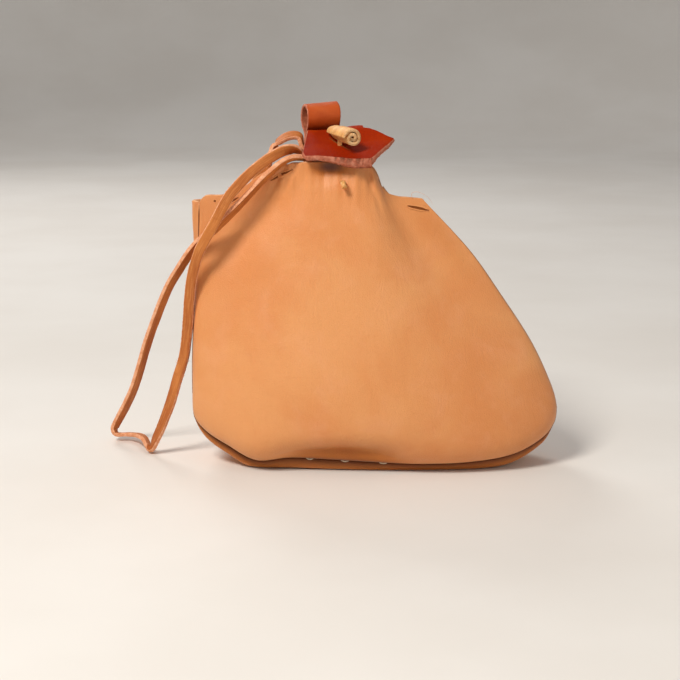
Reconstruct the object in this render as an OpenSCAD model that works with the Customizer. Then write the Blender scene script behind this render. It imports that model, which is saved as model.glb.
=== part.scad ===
// Drawstring dice bag: two leather panels sewn and turned, a gathered mouth with a
// flat lace, a flap that buttons over a rolled toggle, and a belt loop behind it.
// +Z is up, -Y is the front, and the origin is under the middle of the bag.

/* [Bag] */
// Thickness of the body leather
leather_t = 1.6; // [1.2:0.1:2]
// How far the panels swell past the seam
belly = 14; // [10:0.5:15]

/* [Flap] */
// Thickness of the flap leather
flap_t = 2.5; // [2:0.1:3]
// Fall of the flap towards its front edge, in degrees
flap_fall = 20; // [16:1:22]

/* [Belt loop] */
// Width of the strap
strap_w = 15.5; // [12:0.5:16]
// Thickness of the strap
strap_t = 1.6; // [1.4:0.1:2]

/* [Toggle] */
// Length of the roll
toggle_len = 16.5; // [12:0.5:17]
// Thickness of the roll
toggle_d = 7.5; // [6:0.5:7.5]

/* [Drawstring] */
// Width of the flat lace
lace_w = 4.8; // [3:0.1:5]
// Thickness of the flat lace
lace_t = 1.9; // [1.2:0.1:2]

/* [Hidden] */
$fn = 32;
tan_leather = [0.84, 0.55, 0.33];
back_leather = [0.72, 0.44, 0.26];
red_leather = [0.50, 0.14, 0.06];
pale_leather = [0.90, 0.68, 0.42];
suede = [0.80, 0.52, 0.30];
thread_white = [0.92, 0.88, 0.80];

// ---- curves and patches ----

// Point t (0 to 1) of the smooth curve through the points p
function curve(p, t) =
    let (n = len(p) - 1, s = min(max(t, 0) * n, n - 0.0001), i = floor(s), f = s - i,
         a = p[max(i - 1, 0)], b = p[i], c = p[i + 1], d = p[min(i + 2, n)])
    0.5 * (2 * b + (c - a) * f + (2 * a - 5 * b + 4 * c - d) * f * f
           + (3 * b - a - 3 * c + d) * f * f * f);

// Patch between a bottom, a top, a left and a right edge, all curves of points
function patch(bottom, top, left, right, u, v) =
    let (c00 = bottom[0], c10 = bottom[len(bottom) - 1], c01 = top[0], c11 = top[len(top) - 1])
    (1 - v) * curve(bottom, u) + v * curve(top, u)
    + (1 - u) * curve(left, v) + u * curve(right, v)
    - ((1 - u) * (1 - v) * c00 + u * (1 - v) * c10 + (1 - u) * v * c01 + u * v * c11);

function unit(a) = a / max(norm(a), 1e-9);
function clampi(i, n) = min(max(i, 0), n);

// Outward normal of a grid of points at row j and column i
function grid_normal(g, j, i) =
    let (nj = len(g) - 1, ni = len(g[0]) - 1)
    unit(cross(g[j][clampi(i + 1, ni)] - g[j][clampi(i - 1, ni)],
               g[clampi(j + 1, nj)][i] - g[clampi(j - 1, nj)][i]));

// Closed sheet of thickness t under the grid g; side is 1 where the grid's normal
// points out of the bag and -1 where it points in. Cells where keep is 0 are left out.
module sheet(g, t, side, keep) {
    nj = len(g);
    ni = len(g[0]);
    outer = [for (j = [0 : nj - 1]) for (i = [0 : ni - 1]) g[j][i]];
    inner = [for (j = [0 : nj - 1]) for (i = [0 : ni - 1])
        let (p = g[j][i] - side * t * grid_normal(g, j, i)) [p[0], p[1], max(p[2], t)]];
    inner_at = nj * ni;
    function at(j, i) = j * ni + i;
    function kept(j, i) = j >= 0 && i >= 0 && j < nj - 1 && i < ni - 1 && keep[j][i] == 1;
    cells = [for (j = [0 : nj - 2]) for (i = [0 : ni - 2]) if (kept(j, i)) [j, i]];
    skins = [for (c = cells)
        let (a = at(c[0], c[1]), b = a + 1, d = a + ni, e = d + 1)
        each [[a, d, b], [b, d, e],
              [inner_at + a, inner_at + b, inner_at + d],
              [inner_at + b, inner_at + e, inner_at + d]]];
    edges = [for (c = cells)
        let (a = at(c[0], c[1]), b = a + 1, d = a + ni, e = d + 1)
        each [if (!kept(c[0] - 1, c[1])) [a, b], if (!kept(c[0], c[1] + 1)) [b, e],
              if (!kept(c[0] + 1, c[1])) [e, d], if (!kept(c[0], c[1] - 1)) [d, a]]];
    rims = [for (s = edges)
        each [[s[0], s[1], inner_at + s[0]], [s[1], inner_at + s[1], inner_at + s[0]]]];
    faces = concat(skins, rims);
    polyhedron(concat(outer, inner), side > 0 ? faces : [for (f = faces) [f[0], f[2], f[1]]],
               convexity = 8);
}

// Direction out of the bag's front and a little up, which flat lace faces
facing = [0, -cos(12), sin(12)];

// Strip along a route: w wide and t thick. wide lists the directions of its width, or
// the turns in degrees from lying flat to the front.
module strip(route, wide, w, t, rings) {
    n = rings - 1;
    sides = 8;
    p = [for (k = [0 : n]) curve(route, k / n)];
    along = [for (k = [0 : n]) unit(p[min(k + 1, n)] - p[max(k - 1, 0)])];
    across = [for (k = [0 : n])
        let (h = curve(wide, k / n), flat = unit(cross(along[k], facing)))
        is_num(h) ? cos(h) * flat + sin(h) * cross(flat, along[k])
                  : unit(h - (h * along[k]) * along[k])];
    pts = [for (k = [0 : n]) for (s = [0 : sides - 1])
        let (a = 360 * (s + 0.5) / sides)
        p[k] + across[k] * sign(cos(a)) * (abs(cos(a)) > 0.5 ? w / 2 : w / 2 - t / 3)
             + cross(along[k], across[k]) * sign(sin(a)) * (abs(sin(a)) > 0.5 ? t / 2 : t / 5)];
    walls = [for (k = [0 : n - 1]) for (s = [0 : sides - 1])
        let (a = k * sides + s, b = k * sides + (s + 1) % sides)
        each [[a, b, a + sides], [b, b + sides, a + sides]]];
    cap_a = [[for (s = [sides - 1 : -1 : 0]) s]];
    cap_b = [[for (s = [0 : sides - 1]) n * sides + s]];
    polyhedron(pts, [for (f = concat(walls, cap_a, cap_b)) [for (i = [len(f) - 1 : -1 : 0]) f[i]]],
               convexity = 10);
}

// ---- outline of the bag ----

// Seam round the front panel: along the bottom, then up each side
seam_bottom = [[-83.6, -6.4, 34], [-82.8, -8.2, 23], [-77, -11, 16.4], [-67.6, -14.2, 11],
               [-54, -17.8, 4.6], [-38, -20, 6.4], [-20, -21.4, 5.8], [0, -22, 4.8],
               [21, -21.9, 4], [44, -20.8, 4.6], [64, -17.6, 7.4], [78, -12.2, 13.6], [84, -8.8, 20.4],
               [85.2, -7.2, 27]];
seam_left = [[-83.6, -6.4, 34], [-83.4, -5.2, 52], [-82, -4.6, 76], [-80, -4.3, 101], [-79, -4.2, 122]];
seam_right = [[85.2, -7.2, 27], [82.6, -5.8, 37], [72.9, -5.2, 57.5], [58.1, -4.8, 80],
              [43.3, -4.5, 100.5], [22, -4.2, 123.6]];
// Mouth edge of the front panel: left ear, gathered neck, right ear
mouth_front = [[-79, -4.2, 122], [-76, -4.3, 125], [-68.5, -4.6, 125.4], [-60.5, -5.2, 128],
               [-50.6, -7, 135.2], [-41, -9.2, 139.2], [-30, -11, 140.8], [-17, -11.8, 140.8],
               [-7, -11.4, 140.6], [-2, -10.2, 139.8], [0.5, -8.2, 136], [3.2, -6.6, 130.6],
               [7, -5.6, 126.6], [11.4, -5, 124.8], [15.4, -4.7, 124.3], [19, -4.4, 123.9],
               [22, -4.2, 123.6]];
// Mouth edge of the back panel, from seam to seam round the two rolled side edges
mouth_back = [[-79.6, -2.2, 122], [-82, -1.4, 122.2], [-82.7, 0.8, 122.2], [-81, 3.6, 122.2],
              [-75, 4.3, 122.4], [-66, 4.5, 122.6], [-57, 5, 124], [-48, 6.4, 129.5],
              [-40, 7.8, 135], [-33, 8.6, 138.6], [-20, 9, 140], [-8, 8.8, 139.6],
              [0, 8, 136.5], [4.6, 6.8, 128], [9, 5.4, 123.4], [14, 4.6, 122.4],
              [18, 4.2, 122.4], [20.8, 3.2, 122.6], [22, 1.4, 122.8], [22.2, -0.4, 123],
              [22.2, -2, 123.2]];
seam_gap = [0, 2.6, -0.35];

// Half of a sine wave, raised to a power
function hump(t, p) = pow(max(sin(180 * min(max(t, 0), 1)), 0), p);

function front_point(u, v) =
    patch(seam_bottom, mouth_front, seam_left, seam_right, u, v)
    - [0, belly * hump(sqrt(v), 1.3) * hump(u, 0.55), 0];

// Seam edges of the back panel stand just clear of the front panel's
function beyond(p) = [for (q = p) q + seam_gap + 0.4 * unit([q[0], 0, q[2] - 60])];
back_bottom = beyond(seam_bottom);
back_left = concat([for (k = [0 : 3]) beyond(seam_left)[k]], [mouth_back[0]]);
back_right = concat([for (k = [0 : 4]) beyond(seam_right)[k]], [mouth_back[20]]);
roll = 0.15;
// The back panel turns under this far below the seam, from the left corner to the right
rim_drop = [1.4, 2.8, 4.4, 5.2, 5.2, 6, 6, 6, 6, 5.6, 4.8, 3.4, 2.2, 1.6];

function back_point(u, v) =
    let (p = patch(back_bottom, mouth_back, back_left, back_right, u, v),
         side = hump(u / roll, 1) * (u < roll ? -1 : 0) + hump((1 - u) / roll, 1) * (u > 1 - roll ? 1 : 0),
         q = p + [0.4 * (1 - v) * side,
                  (23.4 + belly) * hump(pow(v, 0.92), 1.4) * hump(u, 0.5),
                  -47 * hump(pow(v, 0.68), 1) * hump(u, 0.7)])
    [q[0], q[1], max(q[2], 0, curve(back_bottom, u)[2] - curve(rim_drop, u))];

// ---- body panels ----

front_cols = 36;
front_rows = 20;
front_grid = [for (j = [0 : front_rows]) [for (i = [0 : front_cols])
    front_point(i / front_cols, j / front_rows)]];

back_cols = 40;
back_rows = 24;
back_grid = [for (j = [0 : back_rows]) [for (i = [0 : back_cols])
    back_point(i / back_cols, j / back_rows)]];
// The back edge of the mouth folds at this row, outside these two columns
fold_row = 19;
neck_cols = [17, 26];
// Clearance round the moving edge, in rows and columns
fold_gap = 0.6;

function everywhere(rows, cols) = [for (j = [0 : rows - 1]) [for (i = [0 : cols - 1]) 1]];

module front_panel() {
    color(tan_leather) sheet(front_grid, leather_t, 1, everywhere(front_rows, front_cols));
}

module back_panel() {
    keep = [for (j = [0 : back_rows - 1]) [for (i = [0 : back_cols - 1])
        j < fold_row || (i >= neck_cols[0] && i < neck_cols[1]) ? 1 : 0]];
    color(back_leather) sheet(back_grid, leather_t, -1, keep);
}

// Free part of the back edge between two columns, with its lower edge on the fold
ear_rows = 4;
ear_cols = 10;
// The ears stop this part of a column short of the side seams
ear_inset = 0.3;

module back_ear(i0, i1) {
    j0 = fold_row + fold_gap;
    g = [for (j = [0 : ear_rows]) [for (i = [0 : ear_cols])
        back_point((i0 + (i1 - i0) * i / ear_cols) / back_cols,
                   (j0 + (back_rows - j0) * j / ear_rows) / back_rows)]];
    color(back_leather) sheet(g, leather_t, -1, everywhere(ear_rows, ear_cols));
}

module back_ear_left() { back_ear(ear_inset, neck_cols[0] - fold_gap); }
module back_ear_right() { back_ear(neck_cols[1] + fold_gap, back_cols - ear_inset); }

// ---- seam thread ----

stitch_r = 0.4;
stitch_len = 3.4;
// Spacing as a part of the seam's length, and the middle of a stitch from the seam
stitch_every = 0.033;
stitch_middle = [0, 1.4, -0.2];

module seam_stitches() {
    color(thread_white)
    for (t = [0.06 : stitch_every : 0.93])
        translate(curve(seam_bottom, t) + stitch_middle)
        rotate([75, 0, 0]) cylinder(r = stitch_r, h = stitch_len, center = true);
}

// ---- flap, with its frame at the hinge line ----

hinge_y = 8;
hinge_z = 152.6;
flap_edge = [[-30.4, -1.6], [-31.6, -14.5], [-32, -20.5], [-31, -24.4], [-26, -25],
             [-17.4, -26.4], [-8, -27.5], [-1.4, -27.6], [0.4, -24.6], [2.1, -20.9], [4, -17.4],
             [6.4, -13.4], [9.3, -8.2], [6.2, -6.9], [1.8, -4.2], [-1.8, -2.2], [-4.6, -1.6]];
// Middle of the buttonhole, and the way the toggle lies across it
button_x = -15.4;
button_s = -13.5;
button_turn = -50;
// Room round the toggle in its slot, and the slot's reach towards the front edge so
// that the flap can swing up past the toggle
slot_room = 0.9;
slot_reach = 1.7;
flap_gap = 0.3;

module flap_frame() {
    translate([0, hinge_y, hinge_z]) rotate([flap_fall, 0, 0]) children();
}

module flap() {
    color(red_leather) flap_frame()
    translate([0, 0, -flap_t]) linear_extrude(flap_t) difference() {
        polygon(flap_edge);
        hull() for (s = [0, -slot_reach])
            translate([button_x, button_s + s]) rotate(button_turn)
            square([toggle_len + 2 * slot_room, toggle_d + 2 * slot_room], center = true);
    }
}

// Band of thickness t along the points p, flat in the YZ plane, between x0 and x1
module band(p, t, x0, x1) {
    n = len(p) - 1;
    side = [for (k = [0 : n]) let (d = unit(p[min(k + 1, n)] - p[max(k - 1, 0)])) [-d[1], d[0]]];
    translate([x0, 0, 0]) rotate([90, 0, 90]) linear_extrude(x1 - x0)
        polygon(concat([for (k = [0 : n]) p[k] + side[k] * t / 2],
                       [for (k = [n : -1 : 0]) p[k] - side[k] * t / 2]));
}

tail_path = [[9, 151.3], [10.6, 149.6], [11.4, 146], [11.6, 140], [12.2, 131], [15, 120.5], [18.4, 110]];
tail_x = [-30, -5];

module flap_tail() {
    color(red_leather) band(tail_path, flap_t, tail_x[0], tail_x[1]);
}

// ---- belt loop ----

loop_x = -24.3;
loop_y = 17.2;
loop_z = 151.2;
loop_yaw = 14;
loop_h = 13.6;
loop_deep = 12.4;

module loop_outline(r) {
    hull() {
        translate([0, loop_h - loop_deep / 2]) circle(r);
        translate([-1.2, 4.2]) circle(r - 2.6);
    }
}

module belt_loop() {
    color(red_leather)
    translate([loop_x, loop_y, loop_z]) rotate([0, 0, loop_yaw])
    translate([-strap_w / 2, 0, 0]) rotate([90, 0, 90]) linear_extrude(strap_w)
    difference() {
        loop_outline(loop_deep / 2);
        loop_outline(loop_deep / 2 - strap_t);
    }
}

loop_tail_path = [[15.6, 150.6], [15, 147.5], [14.9, 142], [15.5, 132], [18.6, 123.5]];

module belt_loop_tails() {
    color(red_leather)
    band(loop_tail_path, 2 * strap_t, loop_x - strap_w / 2, loop_x + strap_w / 2);
}

// Two rows of stitches through the tails and the back panel, square to the tails
flap_stitch_r = 0.5;
flap_stitch_every = 4;

module flap_stitch_row(x0, x1, y, z, lean, length) {
    for (x = [x0 : flap_stitch_every : x1]) translate([x, y, z]) rotate([90 + lean, 0, 0])
        cylinder(r = flap_stitch_r, h = length, center = true);
}

module flap_stitches() {
    color(thread_white) {
        flap_stitch_row(-28.5, -8.5, 14, 127, 15, 7);
        flap_stitch_row(-30, -18, 13.5, 138, 2, 8);
    }
}

// ---- toggle and thong ----

toggle_up = flap_gap + toggle_d / 2;
module button_frame() {
    flap_frame() translate([button_x, button_s, toggle_up]) children();
}

module toggle() {
    r = toggle_d / 2;
    half = toggle_len / 2;
    color(pale_leather) button_frame() rotate([0, 0, button_turn]) difference() {
        rotate([0, 90, 0]) rotate_extrude()
            polygon([[0, -half], [r - 1.2, -half], [r - 0.5, -half + 1], [r - 0.1, 0],
                     [r, half - 1], [r - 0.4, half], [0, half]]);
        cylinder(r = 1.5, h = 3 * r, center = true);
    }
}

thong_route = [[-15.4, -7.5, 155.6], [-15.4, -6.2, 152], [-15.4, -4.7, 147.8], [-15.4, -3.5, 144.4],
               [-15.3, -3.4, 141], [-15, -4.6, 137.4], [-14.5, -6.6, 134], [-14, -9.3, 132.4],
               [-14, -13, 131.8], [-14, -16.4, 131.6]];
thong_wide = [[1, 0, 0], [1, 0, 0]];

module toggle_thong() {
    color(pale_leather) {
        strip(thong_route, thong_wide, 2, 1.5, 24);
        button_frame() translate([0, 0, toggle_d / 2 + 0.2]) cylinder(r = 1.7, h = 0.9);
    }
}

module thong_knot() {
    color(pale_leather) translate([-14, -9.1, 132.4]) sphere(r = 2.1);
}

// ---- drawstring ----

// The lace's run inside the mouth, with one bight standing out at the left of the neck
mouth_run_route = [
    [-20, -5, 138.6], [-18, -1.6, 137], [-12, -1, 135.8], [-5, -3, 132.5], [1, -3.6, 127],
    [5, -2.6, 122.6], [9, -1.6, 119.6], [13.4, -1.4, 117.6], [16.8, -0.4, 116.8], [13.6, 0.6, 117.4],
    [9, 0.8, 119.6], [4, 1.8, 124], [-1, 4, 129.5], [-8, 5, 134], [-16, 5.2, 136],
    [-24, 4, 138], [-29.5, 4.4, 141.4], [-32.6, 4.4, 146.6], [-34, 4.2, 151], [-38.6, 4, 151.2],
    [-43.4, 3.8, 148.4], [-46.2, 3.2, 144], [-50.4, 1.8, 135.4], [-56, 0.6, 126.5],
    [-60, -0.3, 121.5], [-57, -1.3, 120], [-50, -2, 123.5], [-42, -3, 128.5], [-34, -3.6, 133.4],
    [-28.5, -3.2, 136.8], [-24.5, -1.8, 138.6]];
mouth_run_wide = [[0, 0.2, 1], [0, 0, 1], [0, 0, 1], [0, 1, 0.4], [0, 1, 0.2], [0, 1, 0],
                  [0.6, 0.4, 0.7], [0, 0, 1], [0, 0, 1], [0, 0.2, 1]];

module drawstring_mouth_run() {
    color(suede) strip(mouth_run_route, mouth_run_wide, lace_w, lace_t, 72);
}

// The free loop: out of the mouth, over the left ear, down to the floor and back
lace_route = [
    [-22, -0.6, 143.2], [-27, -0.8, 143.4], [-31.6, -1.2, 143.6], [-35.8, -5, 145.9], [-40.5, -9.4, 145.8],
    [-46.2, -12.6, 143.1], [-51.4, -14.6, 139.5], [-56.5, -16, 135.2], [-61.2, -16.5, 130.4],
    [-65.4, -16.5, 125.2], [-71.3, -16, 114.5], [-76.9, -15, 104.6], [-79.6, -13.4, 98.8],
    [-82.6, -10.6, 88.2], [-84.3, -8, 76.4], [-85.3, -6, 65.5], [-87.5, -3, 50.7], [-91.5, 0, 37.9],
    [-95, 2.5, 26.6], [-99.4, 5, 15.2], [-102.9, 6.8, 7.4], [-105, 8.8, 2.9], [-106.9, 11.8, 3],
    [-109.8, 18, 4.6], [-113.4, 26.4, 4], [-119, 32.2, 3], [-124.4, 32, 3.1], [-125.9, 31.8, 5.4],
    [-124.6, 31, 9], [-117.5, 26, 20.7], [-111.8, 21.5, 32.8], [-104.2, 13.5, 56.3], [-95.8, 4, 79.2],
    [-89.2, -2, 90.6], [-81.3, -8, 102], [-70.8, -11.4, 111.8], [-59.8, -13.5, 122.6],
    [-47.3, -13, 135.7], [-37.5, -10.6, 142.4], [-27, -2.6, 141.2]];
lace_turn = [90, 90, 86, 56, 30, 20, 14, 10, 10, 10, 10, 8, 6, 0, -6, -10, -14, -18, -24, -36, -50,
             -70, -84, -84, -88, -90, -88, -74, -62, -57, -57, -57, -57, -57, -57, -57, -55, -50,
             -68, -90];

module drawstring() {
    color(suede) strip(lace_route, lace_turn, lace_w, lace_t, 84);
}

front_panel();
back_panel();
back_ear_left();
back_ear_right();
seam_stitches();
flap();
flap_tail();
belt_loop();
belt_loop_tails();
flap_stitches();
toggle();
toggle_thong();
thong_knot();
drawstring_mouth_run();
drawstring();
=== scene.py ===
import random
from math import cos, pi, radians, sin

import bpy
import numpy as np
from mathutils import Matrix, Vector, noise


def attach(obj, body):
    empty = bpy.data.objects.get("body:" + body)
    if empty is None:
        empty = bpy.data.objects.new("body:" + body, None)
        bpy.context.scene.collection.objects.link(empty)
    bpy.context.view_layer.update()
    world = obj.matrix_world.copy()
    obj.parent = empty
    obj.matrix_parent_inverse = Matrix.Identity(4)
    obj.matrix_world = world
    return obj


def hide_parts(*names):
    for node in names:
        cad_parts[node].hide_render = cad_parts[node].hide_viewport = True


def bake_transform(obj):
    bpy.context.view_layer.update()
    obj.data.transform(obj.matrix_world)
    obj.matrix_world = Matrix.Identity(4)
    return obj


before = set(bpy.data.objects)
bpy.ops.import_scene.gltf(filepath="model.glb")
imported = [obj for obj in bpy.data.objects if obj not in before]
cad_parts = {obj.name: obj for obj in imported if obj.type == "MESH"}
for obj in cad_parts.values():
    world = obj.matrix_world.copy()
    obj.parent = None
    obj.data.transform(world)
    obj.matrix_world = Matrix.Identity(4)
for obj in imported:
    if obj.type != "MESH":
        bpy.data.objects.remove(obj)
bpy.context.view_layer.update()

MM = 0.001

# ---- camera: level with the bag's shoulder, straight on to the front ----

CAMERA_TARGET = (-0.01535, -0.00545, 0.05836)
CAMERA_DISTANCE = 0.74
CAMERA_ELEVATION = radians(12)

camera = bpy.data.objects.new("camera", bpy.data.cameras.new("camera"))
bpy.context.scene.collection.objects.link(camera)
camera.data.lens = 85
camera.data.sensor_width = 36
back = Vector((0, -cos(CAMERA_ELEVATION), sin(CAMERA_ELEVATION)))
camera.location = Vector(CAMERA_TARGET) + CAMERA_DISTANCE * back
camera.rotation_euler = (-back).to_track_quat("-Z", "Y").to_euler()
bpy.context.scene.camera = camera


# ---- curves, patches and noise (all lengths below are in mm) ----

def unit(a):
    return a / np.maximum(np.linalg.norm(a, axis=-1, keepdims=True), 1e-9)


def curve(points, t):
    """Points at t (0 to 1) of the smooth curve through points."""
    p = np.asarray(points, float)
    n = len(p) - 1
    s = np.clip(np.asarray(t, float), 0, 1) * n
    s = np.minimum(s, n - 1e-4)
    i = np.floor(s).astype(int)
    f = (s - i)[..., None]
    a, b, c, d = p[np.maximum(i - 1, 0)], p[i], p[i + 1], p[np.minimum(i + 2, n)]
    return 0.5 * (2 * b + (c - a) * f + (2 * a - 5 * b + 4 * c - d) * f * f
                  + (3 * b - a - 3 * c + d) * f * f * f)


def polyline(points, t):
    """Points at t (0 to 1) of the length of the straight-sided line through points."""
    p = np.asarray(points, float)
    at = np.concatenate([[0], np.cumsum(np.linalg.norm(np.diff(p, axis=0), axis=1))])
    t = np.asarray(t, float) * at[-1]
    return np.stack([np.interp(t, at, p[:, k]) for k in range(p.shape[1])], axis=-1)


def patch(bottom, top, left, right, u, v, line=curve):
    """Surface between four edges, at u across and v up."""
    c00, c10, c01, c11 = (np.asarray(q, float) for q in (bottom[0], bottom[-1], top[0], top[-1]))
    uu, vv = u[..., None], v[..., None]
    return ((1 - vv) * line(bottom, u) + vv * line(top, u)
            + (1 - uu) * line(left, v) + uu * line(right, v)
            - ((1 - uu) * (1 - vv) * c00 + uu * (1 - vv) * c10
               + (1 - uu) * vv * c01 + uu * vv * c11))


def hump(t, power):
    return np.maximum(np.sin(pi * np.clip(t, 0, 1)), 0) ** power


def smooth(x, a, b):
    t = np.clip((x - a) / (b - a), 0, 1)
    return t * t * (3 - 2 * t)


def rough(points, scale, octaves=3, seed=0.0):
    """Fractal noise of about -1 to 1 at each point; scale is features per mm."""
    flat = points.reshape(-1, 3) * scale + seed
    values = [noise.fractal(Vector(p), 1.0, 2.0, octaves) for p in flat]
    return np.array(values).reshape(points.shape[:-1])


def grid_of(rows, cols):
    v, u = np.meshgrid(np.linspace(0, 1, rows + 1), np.linspace(0, 1, cols + 1), indexing="ij")
    return u, v


def normals(g):
    n = unit(np.cross(np.gradient(g, axis=1), np.gradient(g, axis=0)))
    # at a corner the two edges can run the same way, so it takes its neighbours' normal
    for row, inner_row in ((0, 3), (1, 3), (-1, -4), (-2, -4)):
        for col, inner_col in ((0, 3), (1, 3), (-1, -4), (-2, -4)):
            n[row, col] = n[inner_row, inner_col]
    return n


# ---- meshes ----

def make(name, verts, faces, materials, face_materials=None, shade=None, flow=None):
    """Mesh object from points in mm. Its points keep their rest place in mm for the finishes."""
    mesh = bpy.data.meshes.new(name)
    verts = np.asarray(verts, float)
    mesh.from_pydata((verts * MM).tolist(), [], [list(map(int, f)) for f in faces])
    for m in materials:
        mesh.materials.append(m)
    if face_materials is not None:
        mesh.polygons.foreach_set("material_index", np.asarray(face_materials, np.int32))
    mesh.polygons.foreach_set("use_smooth", np.ones(len(mesh.polygons), bool))
    rest = mesh.attributes.new("rest", "FLOAT_VECTOR", "POINT")
    rest.data.foreach_set("vector", verts.astype(np.float32).ravel())
    if flow is not None:
        at = mesh.attributes.new("flow", "FLOAT_VECTOR", "POINT")
        at.data.foreach_set("vector", np.asarray(flow, np.float32).ravel())
    if shade is not None:
        at = mesh.attributes.new("shade", "FLOAT", "POINT")
        at.data.foreach_set("value", np.asarray(shade, np.float32).ravel())
    mesh.validate()
    mesh.update()
    obj = bpy.data.objects.new(name, mesh)
    bpy.context.scene.collection.objects.link(obj)
    return obj


def sheet(name, g, t, side, materials, keep=None, shade=None, flow=None, ragged=0.0, seed=0.0):
    """Closed leather sheet of thickness t under the grid g, with a rounded cut edge.
    materials are the grain side's, the flesh side's and the edge's. Cells outside keep are left out."""
    rows, cols = g.shape[0] - 1, g.shape[1] - 1
    if keep is None:
        keep = np.ones((rows, cols), bool)
    n = normals(g) * side
    t = np.broadcast_to(t, g.shape[:2])[..., None]
    count = g.shape[0] * g.shape[1]
    index = np.arange(count).reshape(g.shape[:2])
    outer, inner = g.reshape(-1, 3).copy(), (g - n * t).reshape(-1, 3)
    nn, thick = n.reshape(-1, 3), t.reshape(-1)
    js, is_ = np.nonzero(keep)
    a, b = index[js, is_], index[js, is_ + 1]
    d, e = index[js + 1, is_], index[js + 1, is_ + 1]
    skin = np.stack([a, b, e, d], axis=1)
    centre = {(j, i): g[j:j + 2, i:i + 2].reshape(4, 3).mean(axis=0) for j, i in zip(js, is_)
              if not (0 < j < rows - 1 and 0 < i < cols - 1
                      and keep[j - 1, i] and keep[j + 1, i] and keep[j, i - 1] and keep[j, i + 1])}
    edges, away = [], {}
    for (j, i), c in centre.items():
        p, q, s, r = index[j, i], index[j, i + 1], index[j + 1, i + 1], index[j + 1, i]
        for x, y, nj, ni in ((p, q, j - 1, i), (q, s, j, i + 1), (s, r, j + 1, i), (r, p, j, i - 1)):
            if 0 <= nj < rows and 0 <= ni < cols and keep[nj, ni]:
                continue
            edges.append((x, y))
            out = (outer[x] + outer[y]) / 2 - c
            for k in (x, y):
                away[k] = away.get(k, 0) + out
    rim = {k: 2 * count + m for m, k in enumerate(away)}
    mids = []
    for k, out in away.items():
        out = out - nn[k] * (out @ nn[k])
        out = out / max(np.linalg.norm(out), 1e-9)
        tear = ragged * noise.noise(Vector(outer[k] * 1.3 + seed)) if ragged else 0.0
        mids.append((outer[k] + inner[k]) / 2 + out * (0.16 * thick[k] + tear))
        outer[k] -= out * (0.1 * thick[k] - 0.5 * tear)
        inner[k] -= out * (0.1 * thick[k] - 1.4 * tear)
    verts = np.concatenate([outer, inner, np.array(mids).reshape(-1, 3)])
    faces = [*skin.tolist(), *(skin[:, ::-1] + count).tolist()]
    kinds = [0] * len(skin) + [1] * len(skin)
    for x, y in edges:
        faces += [[y, x, rim[x], rim[y]], [rim[y], rim[x], x + count, y + count]]
        kinds += [2, 2]
    if side < 0:
        faces = [f[::-1] for f in faces]
    used = np.zeros(len(verts), bool)
    used[np.unique(np.concatenate([np.ravel(f) for f in faces]))] = True
    number = np.cumsum(used) - 1
    faces = [[number[k] for k in f] for f in faces]

    def spread(values):
        if values is None:
            return None
        flat = np.asarray(values).reshape(count, -1)
        return np.concatenate([flat, flat, flat[list(away)]])[used]

    return make(name, verts[used], faces, materials, kinds, spread(shade), spread(flow))


FRONT = np.array([0, -cos(CAMERA_ELEVATION), sin(CAMERA_ELEVATION)])


def route_frames(route, wide, rings):
    """Ring centres along a route, with the direction along and the width's direction. wide is a list of
    directions, or of turns in degrees from lying flat to the front."""
    t = np.linspace(0, 1, rings)
    p = curve(route, t)
    along = unit(np.gradient(p, axis=0))
    h = curve(wide, t)
    if h.shape[1] == 1:
        a = np.radians(h)
        flat = unit(np.cross(along, FRONT))
        return p, along, np.cos(a) * flat + np.sin(a) * np.cross(flat, along)
    across = unit(h - (h * along).sum(1, keepdims=True) * along)
    return p, along, across


def lace(name, route, wide, w, t, rings, materials, seed=0.0):
    """Flat leather lace. Its faces are the grain side, the flesh side and the two cut edges."""
    p, along, across = route_frames(route, wide, rings)
    up = np.cross(along, across)
    xs = [-0.46, -0.3, -0.1, 0.1, 0.3, 0.46]
    profile = ([(x, 0.5, 0) for x in xs] + [(0.493, 0.36, 2), (0.5, 0.0, 2), (0.493, -0.36, 2)]
               + [(x, -0.5, 1) for x in xs[::-1]] + [(-0.493, -0.36, 2), (-0.5, 0, 2), (-0.493, 0.36, 2)])
    m = len(profile)
    s = np.concatenate([[0], np.cumsum(np.linalg.norm(np.diff(p, axis=0), axis=1))])
    verts, flow = [], []
    for k in range(rings):
        w_k = w * (1 + 0.05 * noise.noise(Vector((s[k] * 0.12, seed, 0))))
        for x, y, kind in profile:
            at = p[k] + across[k] * x * w_k
            torn = noise.noise(Vector((s[k] * 1.9, x * 5 + seed, y * 2)))
            ragged = 0.10 * torn if abs(x) > 0.45 else 0.0
            cup = 0.12 * (abs(2 * x) ** 2 - 0.4) * noise.noise(Vector((s[k] * 0.06, seed + 4, 0)))
            grain = 0.05 * noise.noise(Vector((s[k] * 0.7, x * w, y + seed)))
            verts.append(at + across[k] * np.sign(x) * ragged + up[k] * (y * t + cup * t + grain))
            flow.append((s[k], x * w, y))
    faces, kinds = [], []
    for k in range(rings - 1):
        for q in range(m):
            r = (q + 1) % m
            faces.append((k * m + q, k * m + r, (k + 1) * m + r, (k + 1) * m + q))
            kinds.append(max(profile[q][2], profile[r][2]))
    for k, flip in ((0, 1), (rings - 1, -1)):
        ring = [k * m + q for q in range(m)][::flip]
        faces.append(ring[::-1])
        kinds.append(2)
    faces = [f[::-1] for f in faces]
    return make(name, verts, faces, materials, kinds, flow=flow), p * MM, float(s[-1]) * MM


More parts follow.
